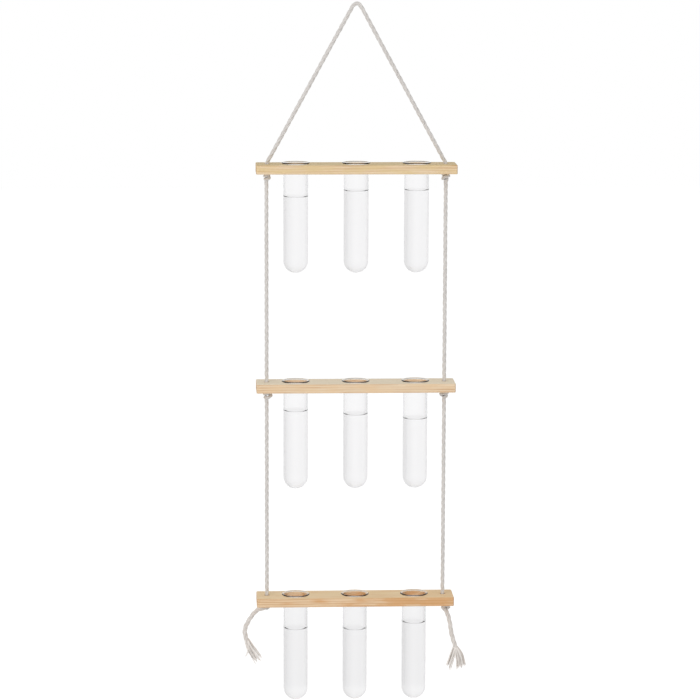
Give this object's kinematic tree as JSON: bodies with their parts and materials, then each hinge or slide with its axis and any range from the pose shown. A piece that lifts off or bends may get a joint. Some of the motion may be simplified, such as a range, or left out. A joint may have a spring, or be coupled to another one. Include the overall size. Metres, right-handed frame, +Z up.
{
  "type": "propagation vase",
  "caption": "Hanging propagation vase: round-bottomed glass tubes with flared rims stand in holes in wooden shelves that hang in a column on a knotted cotton rope with a loop at the top.",
  "frame": {"origin": "where the inside of the rope's loop rests on the top of its hook", "axes": "+Z up, +X along the shelves to the right as seen from the front, +Y towards the wall"},
  "size_m": [0.2283, 0.035, 0.7133],
  "materials": {
    "pine": "sanded, unvarnished",
    "clear_glass": "clear, polished",
    "cotton_rope": "twisted, matt"
  },
  "bodies": {
    "hanger": {"hanger_rope": "cotton_rope"},
    "top_tier": {"top_shelf": "pine", "knot_top_left": "cotton_rope", "knot_top_right": "cotton_rope"},
    "upper_ropes": {"rope_middle_left": "cotton_rope", "rope_middle_right": "cotton_rope"},
    "middle_tier": {"middle_shelf": "pine", "knot_middle_left": "cotton_rope", "knot_middle_right": "cotton_rope"},
    "lower_ropes": {"rope_bottom_left": "cotton_rope", "rope_bottom_right": "cotton_rope"},
    "bottom_tier": {"bottom_shelf": "pine", "knot_bottom_left": "cotton_rope", "knot_bottom_right": "cotton_rope", "tail_left": "cotton_rope", "tail_right": "cotton_rope"},
    "tube_top_left": {"tube_top_left": "clear_glass"},
    "tube_top_centre": {"tube_top_centre": "clear_glass"},
    "tube_top_right": {"tube_top_right": "clear_glass"},
    "tube_middle_left": {"tube_middle_left": "clear_glass"},
    "tube_middle_centre": {"tube_middle_centre": "clear_glass"},
    "tube_middle_right": {"tube_middle_right": "clear_glass"},
    "tube_bottom_left": {"tube_bottom_left": "clear_glass"},
    "tube_bottom_centre": {"tube_bottom_centre": "clear_glass"},
    "tube_bottom_right": {"tube_bottom_right": "clear_glass"}
  },
  "joints": [
    {"name": "top_shelf_tilt", "type": "hinge", "parent": "hanger", "child": "top_tier", "pos_m": [0, 0, -0.1574], "axis": [1, 0, 0], "range_deg": [-15, 15]},
    {"name": "upper_ropes_swing", "type": "hinge", "parent": "top_tier", "child": "upper_ropes", "pos_m": [0, 0, -0.17544], "axis": [1, 0, 0], "range_deg": [-20, 20]},
    {"name": "middle_shelf_tilt", "type": "hinge", "parent": "upper_ropes", "child": "middle_tier", "pos_m": [0, 0, -0.3784], "axis": [1, 0, 0], "range_deg": [-15, 15]},
    {"name": "lower_ropes_swing", "type": "hinge", "parent": "middle_tier", "child": "lower_ropes", "pos_m": [0, 0, -0.39644], "axis": [1, 0, 0], "range_deg": [-20, 20]},
    {"name": "bottom_shelf_tilt", "type": "hinge", "parent": "lower_ropes", "child": "bottom_tier", "pos_m": [0, 0, -0.5994], "axis": [1, 0, 0], "range_deg": [-15, 15]},
    {"name": "top_left_tube_lift", "type": "slide", "parent": "top_tier", "child": "tube_top_left", "axis": [0, 0, 1], "range_m": [0, 0.018]},
    {"name": "top_centre_tube_lift", "type": "slide", "parent": "top_tier", "child": "tube_top_centre", "axis": [0, 0, 1], "range_m": [0, 0.115]},
    {"name": "top_right_tube_lift", "type": "slide", "parent": "top_tier", "child": "tube_top_right", "axis": [0, 0, 1], "range_m": [0, 0.018]},
    {"name": "middle_left_tube_lift", "type": "slide", "parent": "middle_tier", "child": "tube_middle_left", "axis": [0, 0, 1], "range_m": [0, 0.1]},
    {"name": "middle_centre_tube_lift", "type": "slide", "parent": "middle_tier", "child": "tube_middle_centre", "axis": [0, 0, 1], "range_m": [0, 0.1]},
    {"name": "middle_right_tube_lift", "type": "slide", "parent": "middle_tier", "child": "tube_middle_right", "axis": [0, 0, 1], "range_m": [0, 0.1]},
    {"name": "bottom_left_tube_lift", "type": "slide", "parent": "bottom_tier", "child": "tube_bottom_left", "axis": [0, 0, 1], "range_m": [0, 0.1]},
    {"name": "bottom_centre_tube_lift", "type": "slide", "parent": "bottom_tier", "child": "tube_bottom_centre", "axis": [0, 0, 1], "range_m": [0, 0.1]},
    {"name": "bottom_right_tube_lift", "type": "slide", "parent": "bottom_tier", "child": "tube_bottom_right", "axis": [0, 0, 1], "range_m": [0, 0.1]}
  ]
}
